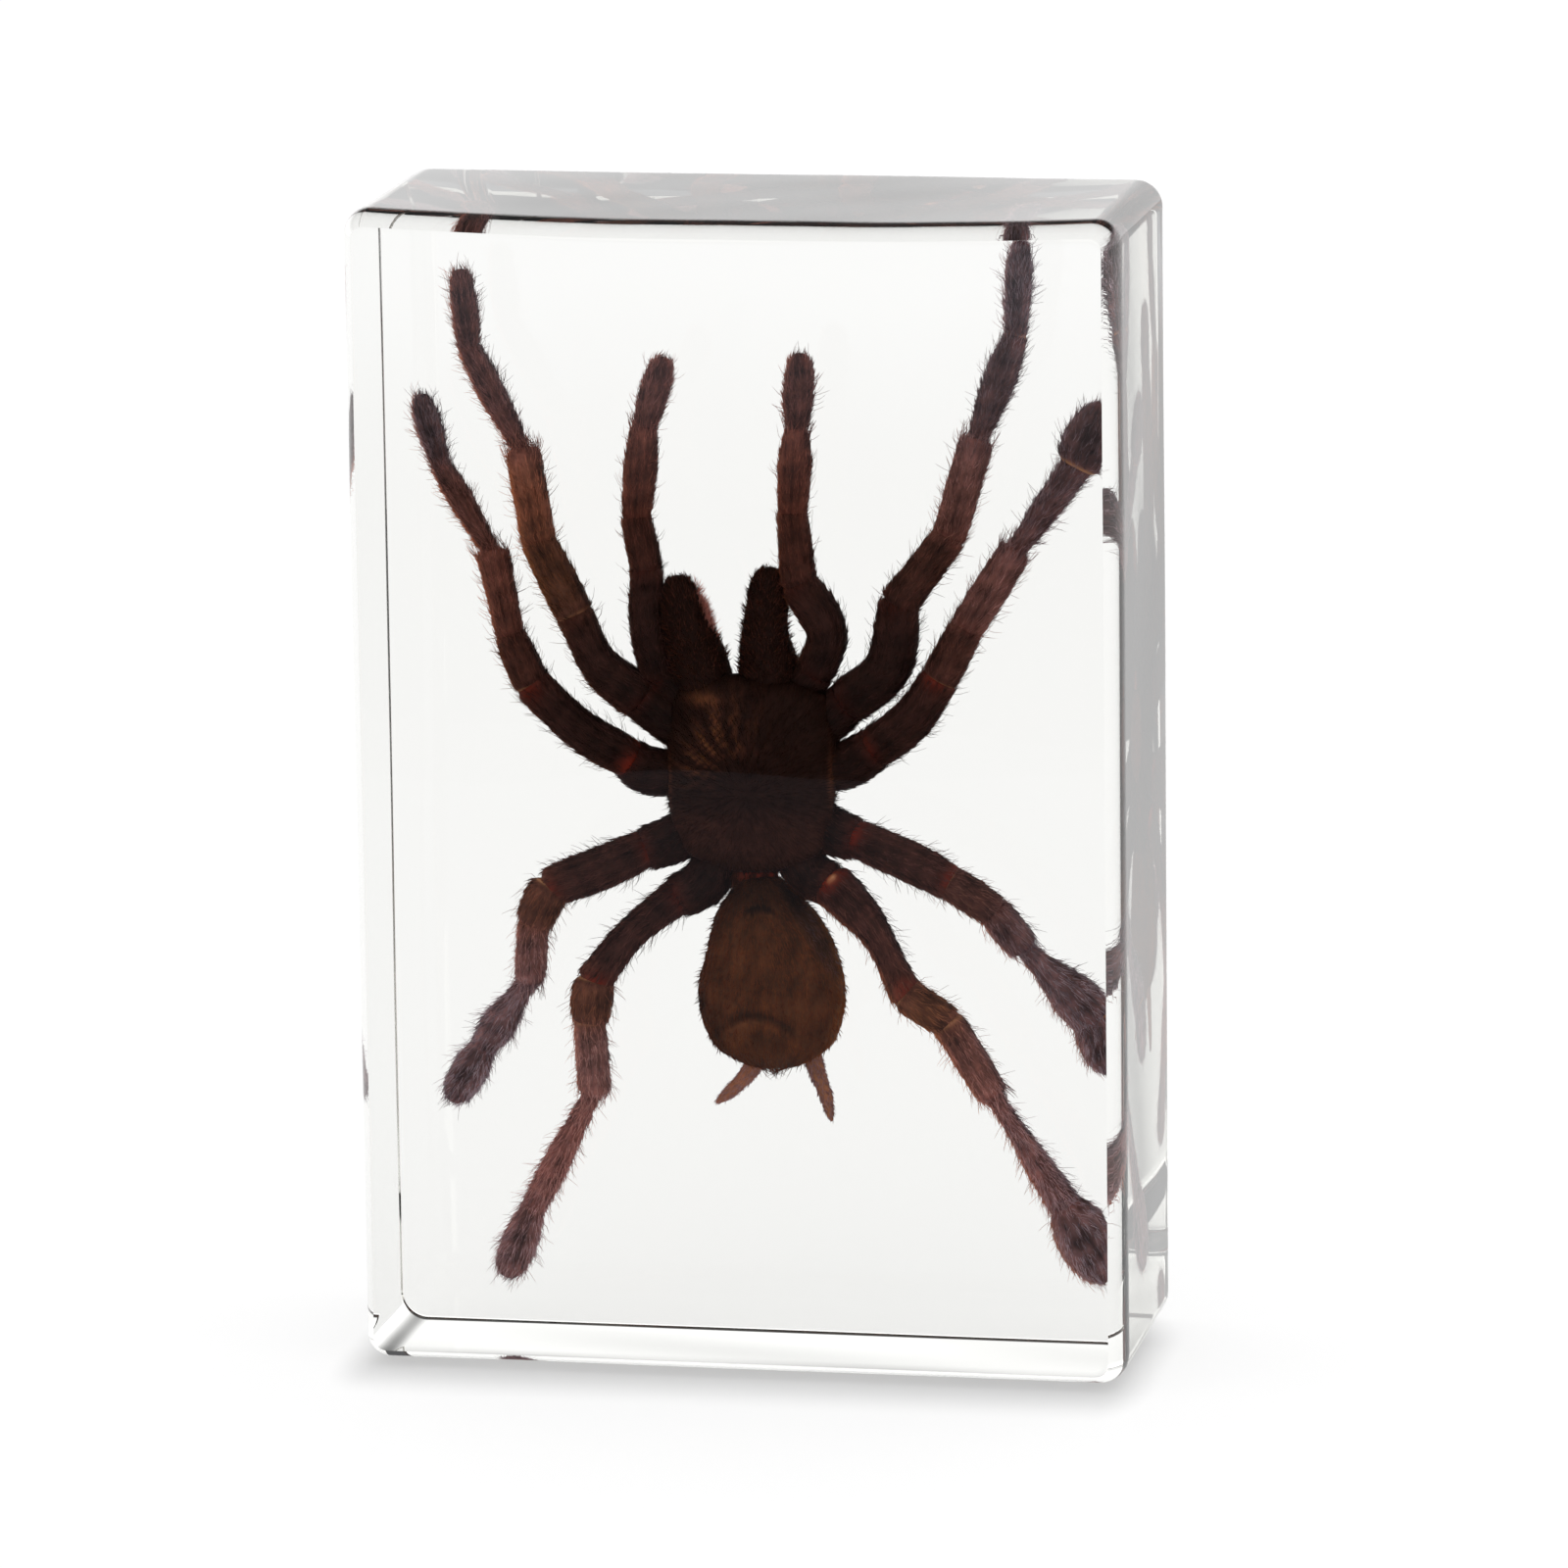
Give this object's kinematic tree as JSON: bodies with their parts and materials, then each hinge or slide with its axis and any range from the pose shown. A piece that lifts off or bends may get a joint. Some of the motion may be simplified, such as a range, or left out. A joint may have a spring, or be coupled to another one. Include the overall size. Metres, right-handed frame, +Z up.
{
  "type": "tarantula in resin block",
  "caption": "Clear upright resin block with rounded edges and a dried tarantula sealed in its middle, legs spread.",
  "frame": {"origin": "middle of the base, on the face that the block stands on", "axes": "+Z up along the spider, head up; +Y from the front face, which the spider's back faces, to the rear; +X to the right seen from the front"},
  "size_m": [0.073, 0.028, 0.11],
  "materials": {
    "clear_resin": "clear, polished, see-through casting resin",
    "spider": "dark brown dried shell under short brown hair"
  },
  "bodies": {
    "root": {"resin_front": "clear_resin", "resin_back": "clear_resin", "tarantula": "spider"}
  },
  "joints": []
}
